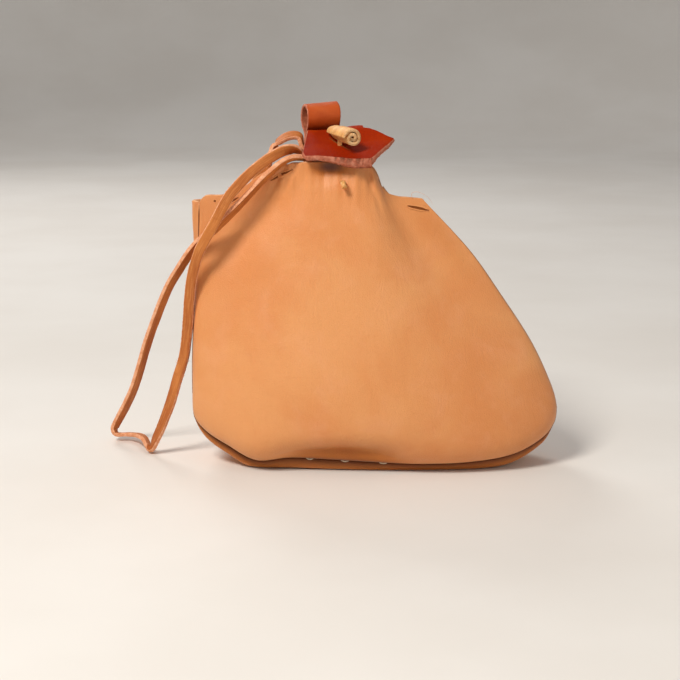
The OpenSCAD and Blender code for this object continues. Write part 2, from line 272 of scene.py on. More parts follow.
def tube(points, r, sides=10, twist=0.0, lumps=0.0, close=True):
    """Vertices and faces of a round tube along points; twist in turns per mm gives thread its plies."""
    p = np.asarray(points, float)
    along = unit(np.gradient(p, axis=0))
    side = unit(np.cross(along[0], [0.3, 0.5, 0.8]))
    verts, faces, s = [], [], 0.0
    radius = np.broadcast_to(np.asarray(r, float), (len(p),))
    for k in range(len(p)):
        if k:
            s += np.linalg.norm(p[k] - p[k - 1])
        side = unit(side - along[k] * (side @ along[k]))
        other = np.cross(along[k], side)
        for q in range(sides):
            a = 2 * pi * q / sides
            rr = radius[k] * (1 + lumps * cos(2 * (a - 2 * pi * twist * s)))
            verts.append(p[k] + rr * (cos(a) * side + sin(a) * other))
    for k in range(len(p) - 1):
        for q in range(sides):
            r2 = (q + 1) % sides
            faces.append((k * sides + q, k * sides + r2, (k + 1) * sides + r2, (k + 1) * sides + q))
    if close:
        faces.append(tuple(range(sides - 1, -1, -1)))
        faces.append(tuple((len(p) - 1) * sides + q for q in range(sides)))
    return verts, faces


def joined(parts):
    """One list of vertices and faces from several."""
    verts, faces = [], []
    for v, f in parts:
        faces += [[k + len(verts) for k in face] for face in f]
        verts += list(v)
    return verts, faces


def fuzz(places, directions, length, width, seed):
    """Loose fibres standing off a cut edge: tiny bent spikes at a few of the places."""
    draw = random.Random(seed)
    parts = []
    for at, out in zip(places, directions):
        bend = np.array([draw.uniform(-1, 1) for _ in range(3)])
        size = length * draw.uniform(0.4, 1.0)
        tip = at + size * unit(out + 0.5 * bend)
        mid = (at + tip) / 2 + 0.18 * size * bend
        parts.append(tube([at - 0.25 * unit(out), mid, tip], [width, width * 0.7, width * 0.15], 4))
    return joined(parts)


# ---- finishes ----

def rgb(r, g, b):
    """Linear colour from screen values of 0 to 255."""
    line = [c / 255 for c in (r, g, b)]
    return tuple(c / 12.92 if c <= 0.04045 else ((c + 0.055) / 1.055) ** 2.4 for c in line) + (1.0,)


class Finish:
    """A node-based material. Its textures run on points in mm."""

    def __init__(self, name):
        self.material = bpy.data.materials.new(name)
        self.material.use_nodes = True
        self.tree = self.material.node_tree
        self.tree.nodes.clear()
        out = self.tree.nodes.new("ShaderNodeOutputMaterial")
        self.bsdf = self.tree.nodes.new("ShaderNodeBsdfPrincipled")
        self.tree.links.new(self.bsdf.outputs[0], out.inputs[0])

    def node(self, kind, inputs=(), out=0, **settings):
        n = self.tree.nodes.new("ShaderNode" + kind)
        for key, value in settings.items():
            setattr(n, key, value)
        for key, value in dict(inputs).items():
            self.put(n.inputs[key], value)
        return n.outputs[out]

    def put(self, socket, value):
        if isinstance(value, bpy.types.NodeSocket):
            self.tree.links.new(value, socket)
        else:
            socket.default_value = value

    def attribute(self, name, out="Vector"):
        return self.node("Attribute", out=out, attribute_name=name)

    def noise(self, at, scale, detail=3.0, rough_=0.5, distortion=0.0):
        return self.node("TexNoise", {"Vector": at, "Scale": scale, "Detail": detail,
                                      "Roughness": rough_, "Distortion": distortion})

    def cells(self, at, scale, feature="DISTANCE_TO_EDGE"):
        return self.node("TexVoronoi", {"Vector": at, "Scale": scale}, feature=feature)

    def stretch(self, at, scale):
        return self.node("Mapping", {"Vector": at, "Scale": scale})

    def mix(self, factor, a, b, how="MIX"):
        n = self.tree.nodes.new("ShaderNodeMix")
        n.data_type, n.blend_type = "RGBA", how
        self.put(n.inputs[0], factor)
        self.put(n.inputs[6], a)
        self.put(n.inputs[7], b)
        return n.outputs[2]

    def span(self, value, a, b, lo=0.0, hi=1.0):
        ends = {"Value": value, "From Min": a, "From Max": b, "To Min": lo, "To Max": hi}
        return self.node("MapRange", ends, interpolation_type="SMOOTHSTEP")

    def maths(self, how, a, b=0.0):
        return self.node("Math", {0: a, 1: b}, operation=how)

    def bump(self, height, distance, strength=1.0, normal=None):
        inputs = {"Height": height, "Distance": distance, "Strength": strength}
        if normal is not None:
            inputs["Normal"] = normal
        return self.node("Bump", inputs)

    def finish(self, colour, roughness, normal, specular=0.4, sheen=0.0,
               sheen_tint=(1, 1, 1, 1), scatter=0.0):
        for key, value in (("Base Color", colour), ("Roughness", roughness), ("Normal", normal),
                           ("Specular IOR Level", specular), ("Sheen Weight", sheen),
                           ("Sheen Tint", sheen_tint), ("Subsurface Weight", scatter)):
            self.put(self.bsdf.inputs[key], value)
        if scatter:
            self.bsdf.inputs["Subsurface Radius"].default_value = (1.0, 0.35, 0.15)
            self.bsdf.inputs["Subsurface Scale"].default_value = 0.0012
        return self.material


def grain_leather(name, base, deep, pale, dark, roughness, sheen=0.06, grain=1.0, specular=0.4):
    """Smooth side of the leather: clouded colour, pores, fine wrinkles and a pebbled grain."""
    f = Finish(name)
    at = f.attribute("rest")
    cloud = f.noise(at, 0.017, 4, 0.55, 0.6)
    patchy = f.noise(at, 0.06, 6, 0.62, 0.4)
    fine = f.noise(at, 0.55, 5, 0.6)
    rubbed = f.noise(f.stretch(at, (0.05, 0.05, 0.42)), 1.0, 5, 0.62, 0.8)
    colour = f.mix(f.span(cloud, 0.36, 0.66), base, deep)
    colour = f.mix(f.span(patchy, 0.46, 0.78, 0, 0.42), colour, pale)
    colour = f.mix(f.span(rubbed, 0.52, 0.74, 0, 0.12), colour, deep)
    colour = f.mix(f.span(fine, 0.40, 0.75, 0.0, 0.10), colour, deep)
    pores = f.cells(at, 0.8, "F1")
    colour = f.mix(f.span(pores, 0.0, 0.16, 0.10, 0.0), colour, dark)
    marks = f.cells(f.stretch(at, (0.035, 0.035, 0.16)), 1.0, "F1")
    colour = f.mix(f.span(marks, 0.0, 0.07, 0.28, 0.0), colour, deep)
    # painted shade from the shade attribute, and the flap's and strap's edge wear: an ochre tint first, then
    # the dark colour where it is strong
    shade = f.attribute("shade", "Fac")
    colour = f.mix(f.span(shade, 0.0, 0.5), colour, (0.66, 0.48, 0.16, 1.0), "MULTIPLY")
    colour = f.mix(f.span(shade, 0.35, 1.0), colour, dark)
    pebble = f.cells(at, 1.15 * grain)
    tiny = f.noise(at, 3.2, 3, 0.6)
    crease = f.noise(f.stretch(at, (0.16, 0.16, 0.05)), 1.0, 5, 0.55, 1.6)
    normal = f.bump(f.span(pebble, 0.0, 0.25), 0.00007, 0.55)
    normal = f.bump(tiny, 0.00006, 0.5, normal)
    normal = f.bump(f.maths("ABSOLUTE", f.maths("SUBTRACT", crease, 0.5)), 0.0011, 0.30, normal)
    rough_ = f.span(patchy, 0.3, 0.7, roughness - 0.06, roughness + 0.08)
    return f.finish(colour, rough_, normal, specular, sheen, scatter=0.05)


def cut_edge(name, base, pale, dark, painted_shade_scale=0.0):
    """Cut edge or split suede: matt, fibrous, paler than the grain side. Its last argument scales the painted
    shade that the shade attribute lays on it.
    """
    f = Finish(name)
    at = f.attribute("rest")
    fibres = f.noise(f.stretch(at, (1.3, 2.6, 2.6)), 1.0, 5, 0.7, 0.5)
    clumps = f.noise(at, 0.45, 4, 0.6)
    colour = f.mix(f.span(clumps, 0.35, 0.68), base, pale)
    colour = f.mix(f.span(fibres, 0.45, 0.8, 0, 0.6), colour, dark)
    # painted shade from the shade attribute, as far as the last argument says
    colour = f.mix(f.maths("MULTIPLY", f.attribute("shade", "Fac"), painted_shade_scale), colour, rgb(96, 44, 16))
    normal = f.bump(fibres, 0.0005, 0.6)
    return f.finish(colour, 0.85, normal, 0.15, 0.35, sheen_tint=pale)


def lace_leather(name, base, deep, pale, roughness=0.55):
    """Lace: streaks and crease marks that run along and across it."""
    f = Finish(name)
    at = f.attribute("flow")
    streak = f.noise(f.stretch(at, (0.10, 1.4, 0.5)), 1.0, 5, 0.62, 0.3)
    cross = f.noise(f.stretch(at, (0.9, 0.12, 0.5)), 1.0, 4, 0.6, 1.0)
    slow = f.noise(f.stretch(at, (0.03, 0.2, 0.5)), 1.0, 3, 0.5)
    colour = f.mix(f.span(slow, 0.35, 0.65), base, deep)
    colour = f.mix(f.span(streak, 0.45, 0.75, 0, 0.6), colour, pale)
    colour = f.mix(f.span(cross, 0.5, 0.72, 0, 0.35), colour, deep)
    tiny = f.noise(at, 2.4, 4, 0.65)
    normal = f.bump(tiny, 0.00015, 0.5)
    normal = f.bump(cross, 0.0005, 0.30, normal)
    return f.finish(colour, roughness, normal, 0.3, 0.12, sheen_tint=pale, scatter=0.04)


def thread_finish(name):
    f = Finish(name)
    at = f.attribute("rest")
    fibre = f.noise(at, 2.2, 4, 0.7)
    colour = f.mix(f.span(fibre, 0.35, 0.7), rgb(246, 236, 214), rgb(205, 180, 142))
    return f.finish(colour, 0.6, f.bump(fibre, 0.0001, 0.6), 0.3, 0.4)


def dark_gap(name):
    """Shadowed depth of a slit or a hole, with a trace of leather in it."""
    f = Finish(name)
    colour = f.mix(f.noise(f.attribute("rest"), 0.9, 3), rgb(104, 52, 20), rgb(140, 78, 36))
    return f.finish(colour, 0.9, f.bump(f.noise(f.attribute("rest"), 2.0, 3), 0.0002, 0.5), 0.1)


tan = grain_leather("tan_grain", rgb(224, 154, 95), rgb(216, 138, 78), rgb(228, 160, 114),
                    rgb(88, 36, 10), 0.46)
tan_flesh = cut_edge("tan_flesh", rgb(206, 142, 88), rgb(224, 166, 112), rgb(150, 92, 50))
tan_edge = cut_edge("tan_edge", rgb(214, 146, 98), rgb(240, 184, 138), rgb(140, 78, 40), 1.1)
# a darker, more orange copy of the tan leather: painted shade for the seam allowance deep in the valley
tan_shaded = grain_leather("tan_seam_shaded", rgb(214, 116, 46), rgb(196, 96, 32), rgb(224, 134, 66),
                         rgb(104, 44, 12), 0.5)
red = grain_leather("red_grain", rgb(154, 40, 5), rgb(126, 25, 4), rgb(186, 66, 12), rgb(54, 11, 3), 0.5,
                    sheen=0.0, grain=1.3, specular=0.03)
red_strap = grain_leather("red_strap_grain", rgb(192, 84, 30), rgb(158, 54, 16), rgb(212, 114, 56),
                          rgb(60, 14, 4), 0.40, sheen=0.0, grain=1.3, specular=0.22)
red_flesh = cut_edge("red_flesh", rgb(152, 82, 56), rgb(178, 106, 76), rgb(92, 40, 26))
red_edge = cut_edge("red_edge", rgb(178, 100, 74), rgb(204, 134, 108), rgb(136, 66, 46))
lace_grain = lace_leather("lace_grain", rgb(200, 120, 56), rgb(172, 92, 38), rgb(222, 150, 84))
lace_flesh = lace_leather("lace_flesh", rgb(212, 130, 68), rgb(180, 100, 46), rgb(226, 154, 96), 0.75)
lace_edge = cut_edge("lace_edge", rgb(226, 152, 108), rgb(246, 186, 146), rgb(158, 92, 58))
pale_grain = lace_leather("pale_grain", rgb(232, 176, 108), rgb(206, 142, 76), rgb(246, 204, 144))
pale_edge = cut_edge("pale_edge", rgb(222, 166, 108), rgb(244, 202, 152), rgb(140, 84, 44))
thread_white = thread_finish("thread_white")
gap_shadow = dark_gap("gap_shadow")


# ---- outline of the bag, as in the CAD ----

LEATHER_T, BELLY = 1.6, 14
seam_bottom = [[-83.6, -6.4, 34], [-82.8, -8.2, 23], [-77, -11, 16.4], [-67.6, -14.2, 11],
               [-54, -17.8, 4.6], [-38, -20, 6.4], [-20, -21.4, 5.8], [0, -22, 4.8],
               [21, -21.9, 4], [44, -20.8, 4.6], [64, -17.6, 7.4], [78, -12.2, 13.6], [84, -8.8, 20.4],
               [85.2, -7.2, 27]]
seam_left = [[-83.6, -6.4, 34], [-83.4, -5.2, 52], [-82, -4.6, 76], [-80, -4.3, 101], [-79, -4.2, 122]]
seam_right = [[85.2, -7.2, 27], [82.6, -5.8, 37], [72.9, -5.2, 57.5], [58.1, -4.8, 80],
              [43.3, -4.5, 100.5], [22, -4.2, 123.6]]
mouth_front = [[-79, -4.2, 122], [-76, -4.3, 125], [-68.5, -4.6, 125.4], [-60.5, -5.2, 128],
               [-50.6, -7, 135.2], [-41, -9.2, 139.2], [-30, -11, 140.8], [-17, -11.8, 140.8],
               [-7, -11.4, 140.6], [-2, -10.2, 139.8], [0.5, -8.2, 136], [3.2, -6.6, 130.6],
               [7, -5.6, 126.6], [11.4, -5, 124.8], [15.4, -4.7, 124.3], [19, -4.4, 123.9], [22, -4.2, 123.6]]
mouth_back = [[-79.6, -2.2, 122], [-82, -1.4, 122.2], [-82.7, 0.8, 122.2], [-81, 3.6, 122.2],
              [-75, 4.3, 122.4], [-66, 4.5, 122.6], [-57, 5, 124], [-48, 6.4, 129.5],
              [-40, 7.8, 135], [-33, 8.6, 138.6], [-20, 9, 140], [-8, 8.8, 139.6],
              [0, 8, 136.5], [4.6, 6.8, 128], [9, 5.4, 123.4], [14, 4.6, 122.4],
              [18, 4.2, 122.4], [20.8, 3.2, 122.6], [22, 1.4, 122.8], [22.2, -0.4, 123],
              [22.2, -2, 123.2]]
# drop of the back panel's turn below the seam, from the left corner to the right
rim_drop = [[1.4], [2.8], [4.4], [5.2], [5.2], [6], [6], [6], [6], [5.6], [4.8], [3.4], [2.2], [1.6]]
SEAM_GAP, ROLL = np.array([0, 1.2, -0.35]), 0.15


def beyond(points):
    """Seam edge of the back panel, just clear of the front panel's."""
    q = np.asarray(points, float)
    return q + SEAM_GAP + 0.4 * unit(q * [1, 0, 1] - [0, 0, 60])


back_bottom = beyond(seam_bottom)
back_left = np.concatenate([beyond(seam_left)[:4], [mouth_back[0]]])
back_right = np.concatenate([beyond(seam_right)[:5], [mouth_back[-1]]])


def dent(x, z, at_x, at_z, half_x, half_z, turn, depth):
    """A soft oval hollow (or swelling, if depth is below 0) in the face seen from the front."""
    c, s = cos(radians(turn)), sin(radians(turn))
    a, b = (x - at_x) * c + (z - at_z) * s, -(x - at_x) * s + (z - at_z) * c
    return -depth * np.exp(-(a / half_x) ** 2 - (b / half_z) ** 2)


# ---- front panel ----

def front_surface(u, v):
    p = patch(seam_bottom, mouth_front, seam_left, seam_right, u, v)
    p[..., 1] -= BELLY * hump(np.sqrt(v), 1.3) * hump(u, 0.55)
    return p


def relaxed(g, amount, rounds):
    """Depth of the grid g evened out over its height and width, as far as amount (0 to 1) says."""
    flat, y = g[..., [0, 2]], g[..., 1].copy()
    ways = [(slice(1, None), slice(None, -1)), (slice(None, -1), slice(1, None))]
    total = np.zeros_like(y)
    pull = []
    for axis in (0, 1):
        for to, of in ways:
            to = (to, slice(None)) if axis == 0 else (slice(None), to)
            of = (of, slice(None)) if axis == 0 else (slice(None), of)
            w = 1 / (np.sum((flat[to] - flat[of]) ** 2, axis=-1) + 0.02)
            total[to] += w
            pull.append((to, of, w))
    for _ in range(rounds):
        gathered = np.zeros_like(y)
        for to, of, w in pull:
            gathered[to] += w * y[of]
        y += amount * (gathered / total - y)
    out = g.copy()
    out[..., 1] = y
    return out


FRONT_ROWS, FRONT_COLS = 150, 230
u, v = grid_of(FRONT_ROWS, FRONT_COLS)
# rows and columns crowd towards the seam, where the leather turns in
u = 0.65 * u + 0.35 * (1 - np.cos(pi * u)) / 2
v = 0.6 * v + 0.4 * (1 - np.cos(pi * v)) / 2
front = front_surface(u, v)
front = relaxed(front, 0.9 * smooth(v, 0.30, 0.55) * smooth(1 - v, 0, 0.04)
                * smooth(np.minimum(u, 1 - u), 0.01, 0.10), 260)
inside = np.minimum(np.minimum(u, 1 - u) / 0.06, v / 0.035).clip(0, 1)
x, z = front[..., 0], front[..., 2]
relief = (dent(x, z, -54, 114, 26, 8, 40, 2.6) + dent(x, z, 16, 112, 26, 8, -50, 2.2)
          + dent(x, z, -13, 8.6, 27, 7, 2, 5.0) + dent(x, z, -2, 112, 9, 24, 12, -1.2)
          + dent(x, z, -54, 14, 12, 9, -20, -1.8) + dent(x, z, 52, 40, 18, 20, 30, 0.9)
          + dent(x, z, -19.5, 136.5, 8, 4.5, 0, 2.6))
relief += 0.6 * rough(front, 0.020, 2, 3.0) + 0.05 * rough(front, 0.10, 2, 7.0)
# gathers below the mouth, fading down the neck
neck = smooth(v, 0.80, 1.0) * smooth(x, -52, -40) * (1 - smooth(x, 0, 5))
relief += neck * (0.45 * np.sin(x * 0.62 + 2.5 * (1 - v)) + 0.25 * np.sin(x * 1.5 + 1.0))
relief += (dent(x, z, -43, 134, 9, 1.1, 62, 1.1) + dent(x, z, -37, 136, 8, 1.0, 68, 0.9)
           + dent(x, z, -1, 131, 12, 1.6, -72, 1.0))
front = front + normals(front) * (relief * smooth(inside, 0, 1))[..., None]
# painted shade: a dark groove along the bottom seam and down both sides
painted_shade = 0.6 * np.exp(-v * 125 / 0.8) \
    + (0.9 * np.exp(-u * 166 / 0.9) + 0.3 * np.exp(-(1 - u) * 166 / 0.9)) * (1 - smooth(v, 0.93, 0.99))
# painted shadow of the flap on the neck just below it, and painted shade in the hollow above the bottom seam
# and on the slope between the belly and the right ear
painted_shade += 0.95 * np.exp(-((x + 19.5) / 8.5) ** 2 - ((z - 138.9) / 3.8) ** 2) \
    + 0.46 * np.exp(-((x + 13) / 27) ** 4 - ((z - 4) / 9.5) ** 2) \
    - 0.2 * dent(x, z, 30, 107, 30, 8, -50, 1)
front_leather = sheet("front_leather", front, LEATHER_T, 1, [tan, tan_flesh, tan_edge], shade=painted_shade)
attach(front_leather, "root")
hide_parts("front_panel")
front_normals = normals(front)


def on_front(px, pz, lift=0.0):
    """Point on the front panel's face at x and z, lifted off it."""
    j, i = np.unravel_index(np.argmin((front[..., 0] - px) ** 2 + (front[..., 2] - pz) ** 2), u.shape)
    p, n = front[j, i], front_normals[j, i]
    y = p[1] - (n[0] * (px - p[0]) + n[2] * (pz - p[2])) / n[1]
    return np.array([px, y, pz]) + lift * n


def slit(name, a, b, half_open, lip):
    """A cut through the front panel between a and b (x, z), with swollen lips and a dark inside of painted
    shadow; the lips carry a little painted shade.
    """
    a, b = np.array(a, float), np.array(b, float)
    along = unit(b - a)
    side = np.array([-along[1], along[0]])
    ring_count, verts, shade = 30, [], []
    for k in range(ring_count):
        t = k / (ring_count - 1)
        h = half_open * float(hump(0.02 + 0.96 * t, 0.6)) + 0.04
        e = lip * (0.35 + 0.65 * float(hump(0.04 + 0.92 * t, 0.5)))
        wander = 0.22 * noise.noise(Vector((t * 4, a[0], 0)))
        for off, up in ((-h - e, -0.4), (-h - 0.8 * e, 0.10), (-h - 0.4 * e, 0.38 * e + 0.05), (-h, 0.28 * e),
                        (-0.7 * h, 0.05), (0.7 * h, 0.05), (h, 0.22 * e), (h + 0.4 * e, 0.3 * e + 0.05),
                        (h + 0.8 * e, 0.08), (h + e, -0.4)):
            p = a + (b - a) * t + side * (off + wander)
            verts.append(on_front(p[0], p[1], up))
            # a little painted shade on the lips
            shade.append(0.1)
    m = 10
    faces, kinds = [], []
    for k in range(ring_count - 1):
        for q in range(m):
            r = (q + 1) % m
            faces.append((k * m + q, (k + 1) * m + q, (k + 1) * m + r, k * m + r))
            kinds.append(1 if q in (3, 4, 5) else 0)
    faces += [tuple(range(m)), tuple((ring_count - 1) * m + q for q in range(m))[::-1]]
    kinds += [0, 0]
    obj = make(name, verts, faces, [tan, gap_shadow], kinds, shade=shade)
    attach(obj, "root")


slit("slit_left", (-46.6, 132.4), (-36.6, 137.4), 0.40, 0.9)
slit("slit_middle", (-65.0, 122.0), (-61.2, 124.4), 0.40, 0.8)
slit("slit_right", (15.2, 120.3), (25.0, 118.4), 0.55, 0.9)
slit("ear_hole", (-72.6, 122.4), (-71.6, 122.7), 0.42, 0.5)

# ---- back panel with both ears, and the pleat behind the neck ----

def back_surface(u, v):
    p = patch(back_bottom, mouth_back, back_left, back_right, u, v)
    side = np.where(u < ROLL, -hump(u / ROLL, 1), 0) + np.where(u > 1 - ROLL, hump((1 - u) / ROLL, 1), 0)
    swell = np.where(u < 0.5, 1.3 * hump(v ** 2.6, 2), 0) - 0.9 * hump(v ** 0.5, 0.5)
    q = p + np.stack([swell * side,
                      (23.4 + BELLY) * hump(v ** 0.92, 1.4) * hump(u, 0.5),
                      -47 * hump(v ** 0.68, 1) * hump(u, 0.7)], axis=-1)
    low = curve(back_bottom, u)[..., 2] - curve(rim_drop, u)[..., 0]
    low = 0.7 * np.log1p(np.exp(np.minimum(low / 0.7, 40)))
    over = q[..., 2] - low
    q[..., 2] = low + np.where(over > 3, over, 3 * np.exp(np.minimum(over - 3, 0) / 3))
    return q


BACK_ROWS, BACK_COLS, FOLD_V = 144, 240, 19 / 24
NECK_U = (17 / 40, 26 / 40)
u, v = grid_of(BACK_ROWS, BACK_COLS)
back_grid = back_surface(u, v)
back_grid[..., 2] -= back_grid[..., 2].min()
x, z = back_grid[..., 0], back_grid[..., 2]
inside = np.minimum(np.minimum(u, 1 - u) / 0.06, v / 0.06).clip(0, 1)
relief = (1.0 * rough(back_grid, 0.022, 3, 11.0) + 0.16 * rough(back_grid, 0.09, 3, 17.0)
          + dent(x, z, -58, 106, 24, 8, 38, 2.0) + dent(x, z, 22, 96, 22, 7, -50, 2.0))
relief *= smooth(inside, 0, 1) * smooth(z, 1.0, 6.0) * (1 - smooth(v, 0.9, 1.0) * 0.6)
back_grid = back_grid - normals(back_grid) * relief[..., None]
# painted shade: a dark groove along the bottom seam and both sides, and a shaded band on the rim that turns
# under the bottom
painted_shade = 0.45 * np.exp(-v * 160 / 0.8) + 0.32 * np.exp(-(v * 160 / 7) ** 2)
painted_shade = np.maximum(painted_shade, 0.9 * np.exp(-u * 170 / 0.9) + 0.4 * np.exp(-(1 - u) * 170 / 0.9))
painted_shade *= 1 - smooth(v, 0.9, 0.98)
keep = np.ones((BACK_ROWS, BACK_COLS), bool)
fold_row = int(round(FOLD_V * BACK_ROWS))
keep[fold_row:, int(NECK_U[0] * BACK_COLS):int(NECK_U[1] * BACK_COLS)] = False
back_leather = sheet("back_leather", back_grid, LEATHER_T, -1, [tan, tan_flesh, tan_edge], keep, painted_shade)
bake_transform(back_leather)
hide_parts("back_panel", "back_ear_left", "back_ear_right")

u, v = grid_of(70, 90)
un, vn = NECK_U[0] - 0.018 + (NECK_U[1] - NECK_U[0] + 0.036) * u, FOLD_V - 0.04 + (1.04 - FOLD_V) * v
pleat = back_surface(un, vn)
tuck = 1 - (smooth(un, NECK_U[0] - 0.005, NECK_U[0] + 0.03) * smooth(vn, FOLD_V - 0.005, FOLD_V + 0.05)
            * (1 - smooth(un, NECK_U[1] - 0.03, NECK_U[1] + 0.005)))
pleat = pleat + normals(pleat) * (2.2 * tuck)[..., None]
# painted shade on the pleat's edges, where they tuck in under the back panel
neck_leather = sheet("neck_leather", pleat, LEATHER_T, -1, [tan, tan_flesh, tan_edge], shade=0.5 * tuck)
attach(neck_leather, "root")

# ---- seam allowance and thread in the valley between the panels ----

seam_line = np.concatenate([curve(seam_left, np.linspace(0.9, 0.02, 120)),
                            curve(seam_bottom, np.linspace(0.0, 1.0, 260)),
                            curve(seam_right, np.linspace(0.02, 0.9, 140))])
inward = unit(np.array([0.0, 0.0, 66.0]) - seam_line * [0.9, 0, 1])
rows = []
for depth, y in ((0.3, 0.5), (0.1, 0.9), (0.3, 1.3), (3.8, 1.5), (4.2, 1.0), (3.8, 0.5)):
    rows.append(seam_line + inward * depth + [0, y, 0])
m, verts = len(rows), np.stack(rows, axis=1).reshape(-1, 3)
faces = [(k * m + q, (k + 1) * m + q, (k + 1) * m + (q + 1) % m, k * m + (q + 1) % m)
         for k in range(len(seam_line) - 1) for q in range(m)]
faces += [tuple(range(m)), tuple((len(seam_line) - 1) * m + q for q in range(m))[::-1]]
# the allowance is painted shade: the darker copy of the tan leather, darkened again by shade 0.5
seam_allowance = make("seam_allowance", verts, faces, [tan_shaded], shade=np.full(len(verts), 0.5))
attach(seam_allowance, "root")

# most stitches lie deep in the seam; a few stand out of it
STITCHES, FIRST_STITCH, STITCH_STEP = 27, 0.06, 0.033
VISIBLE_STITCHES = (11, 13, 15)
parts = []
for k in range(STITCHES):
    t = FIRST_STITCH + STITCH_STEP * k
    a, b = curve(seam_bottom, t - 0.006), curve(seam_bottom, t + 0.006)
    mid = (a + b) / 2
    lift = 0.5 if k in VISIBLE_STITCHES else -0.9
    out = np.array([0, -0.35, -1.0]) * lift
    ends = [a + [0, 0.9, 1.6], a + [0, 0.6, 0.1] + out * 0.4, mid + [0, 0.4, 0.0] + out,
            b + [0, 0.6, 0.1] + out * 0.4, b + [0, 0.9, 1.6]]
    parts.append(tube(curve(ends, np.linspace(0, 1, 17)), 0.32, 10, 0.5, 0.16))
seam_thread = make("seam_thread", *joined(parts), [thread_white])
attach(seam_thread, "root")
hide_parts("seam_stitches")


# ---- flap: one piece of red leather from its front edge, over the hinge, to its tail ----

HINGE = np.array([0, 8, 152.6])
FALL = radians(20)
FLAP_T = 2.5
SLIT_AT, SLIT_TURN = (-15.4, -13.5), radians(-50)
flap_front = [[-31, -24.4], [-26, -25], [-17.4, -26.4], [-8, -27.5], [-1.4, -27.6]]
flap_right = [[-1.4, -27.6], [0.4, -24.6], [2.1, -20.9], [4, -17.4], [6.4, -13.4], [9.3, -8.2],
              [6.2, -6.9], [1.8, -4.2], [-1.8, -2.2], [-4.6, -1.6]]
flap_left = [[-31, -24.4], [-32, -20.5], [-31.6, -14.5], [-30.4, -1.6]]
flap_back = [[-30.4, -1.6], [-4.6, -1.6]]
tail_outer = [[6.5, 152.05], [8.3, 152.55], [10.1, 152.15], [11.7, 150.6], [12.6, 147.4],
              [12.85, 140], [13.45, 131.1], [16.2, 120.8], [19.6, 110.4]]


def in_flap_frame(p):
    """Points of the flap's own frame (x, s, up) in the bag's."""
    q = np.asarray(p, float)
    return HINGE + np.stack([q[..., 0], q[..., 1] * cos(FALL) - q[..., 2] * sin(FALL),
                             q[..., 1] * sin(FALL) + q[..., 2] * cos(FALL)], axis=-1)


def flap_height(xs, s):
    """The flap isn't flat: its corner at the back right curls up, and its front edge waves a little."""
    return (-0.3 * smooth(-s, 20, 30) + 1.0 * smooth(s, -14, -2)
            + 2.2 * smooth(xs, -22, -6) * smooth(s, -10, -1.6) - 0.4 * smooth(-xs, 24, 32)
            + 0.25 * np.sin(xs * 0.22 + 0.6) * smooth(-s, 3, 14))


FLAP_ROWS, FLAP_COLS, TAIL_ROWS = 74, 72, 100
u, v = grid_of(FLAP_ROWS, FLAP_COLS)
flat = patch(flap_front, flap_back, flap_left, flap_right, u, v, polyline)
local = np.concatenate([flat, flap_height(flat[..., 0], flat[..., 1])[..., None]], axis=-1)
top = in_flap_frame(local)
t = np.linspace(0, 1, TAIL_ROWS + 1)[1:]
tail = curve(tail_outer, t)
left_x, right_x = -30.4 + 0.2 * smooth(t, 0, 0.3), -4.6 - 1.2 * smooth(t, 0, 0.35)
across = np.linspace(0, 1, FLAP_COLS + 1)
tail_grid = np.stack([left_x[:, None] + (right_x - left_x)[:, None] * across,
                      np.repeat(tail[:, :1], FLAP_COLS + 1, 1),
                      np.repeat(tail[:, 1:], FLAP_COLS + 1, 1)], axis=-1)
tail_grid[..., 2] += (1.0 + 2.2 * smooth(tail_grid[..., 0], -22, -6)) * smooth(tail_grid[..., 2], 140, 152)
flap_grid = np.concatenate([top, tail_grid])
flap_grid += normals(flap_grid) * (0.22 * rough(flap_grid, 0.10, 3, 23.0))[..., None]
row, col = np.arange(len(flap_grid)), np.arange(FLAP_COLS + 1)
edge_near = np.minimum(np.minimum(col, col[::-1])[None, :] * 0.45, np.minimum(row, row[::-1])[:, None] * 0.42)
# wear: the flap's edges a little darker
wear_and_shade = 0.35 * np.exp(-edge_near / 0.5)
# the front edge is thicker than the rest, all but its left end
thick = FLAP_T + 2.4 * np.exp(-row / 5.0)[:, None] * smooth(flap_grid[..., 0], -26, -8)
flap_leather = sheet("flap_leather", flap_grid, thick, 1, [red, red_flesh, red_edge], shade=wear_and_shade,
                     ragged=0.3, seed=5.0)
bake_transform(flap_leather)
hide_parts("flap", "flap_tail")

# buttonhole along the toggle: a thin dark slab through the flap, painted shadow in place of a cut opening
SLIT_LEN, SLIT_HALF, SLIT_PROUD, SLIT_STEPS = 15.0, 0.35, 0.22, 24
c, w = cos(SLIT_TURN), sin(SLIT_TURN)
verts = []
for k in range(SLIT_STEPS + 1):
    t = k / SLIT_STEPS
    along_slit = (t - 0.5) * SLIT_LEN
    half = SLIT_HALF * float(hump(0.03 + 0.94 * t, 0.5))
    for off in (-half, half):
        xs, ss = SLIT_AT[0] + along_slit * c - off * w, SLIT_AT[1] + along_slit * w + off * c
        face_up = float(flap_height(np.array(xs), np.array(ss)))
        verts.append(in_flap_frame([xs, ss, face_up + SLIT_PROUD]))
        verts.append(in_flap_frame([xs, ss, face_up - FLAP_T - SLIT_PROUD]))
end = 4 * SLIT_STEPS
faces = [(0, 1, 3, 2), (end, end + 2, end + 3, end + 1)]
for a in range(0, end, 4):
    b = a + 4
    faces += [(a, a + 2, b + 2, b), (a + 1, b + 1, b + 3, a + 3),
              (a, b, b + 1, a + 1), (a + 2, a + 3, b + 3, b + 2)]
buttonhole = make("buttonhole", verts, faces, [gap_shadow])
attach(buttonhole, "flap")

# ---- belt loop: a strap folded over itself, its two ends sewn behind the flap's tail ----

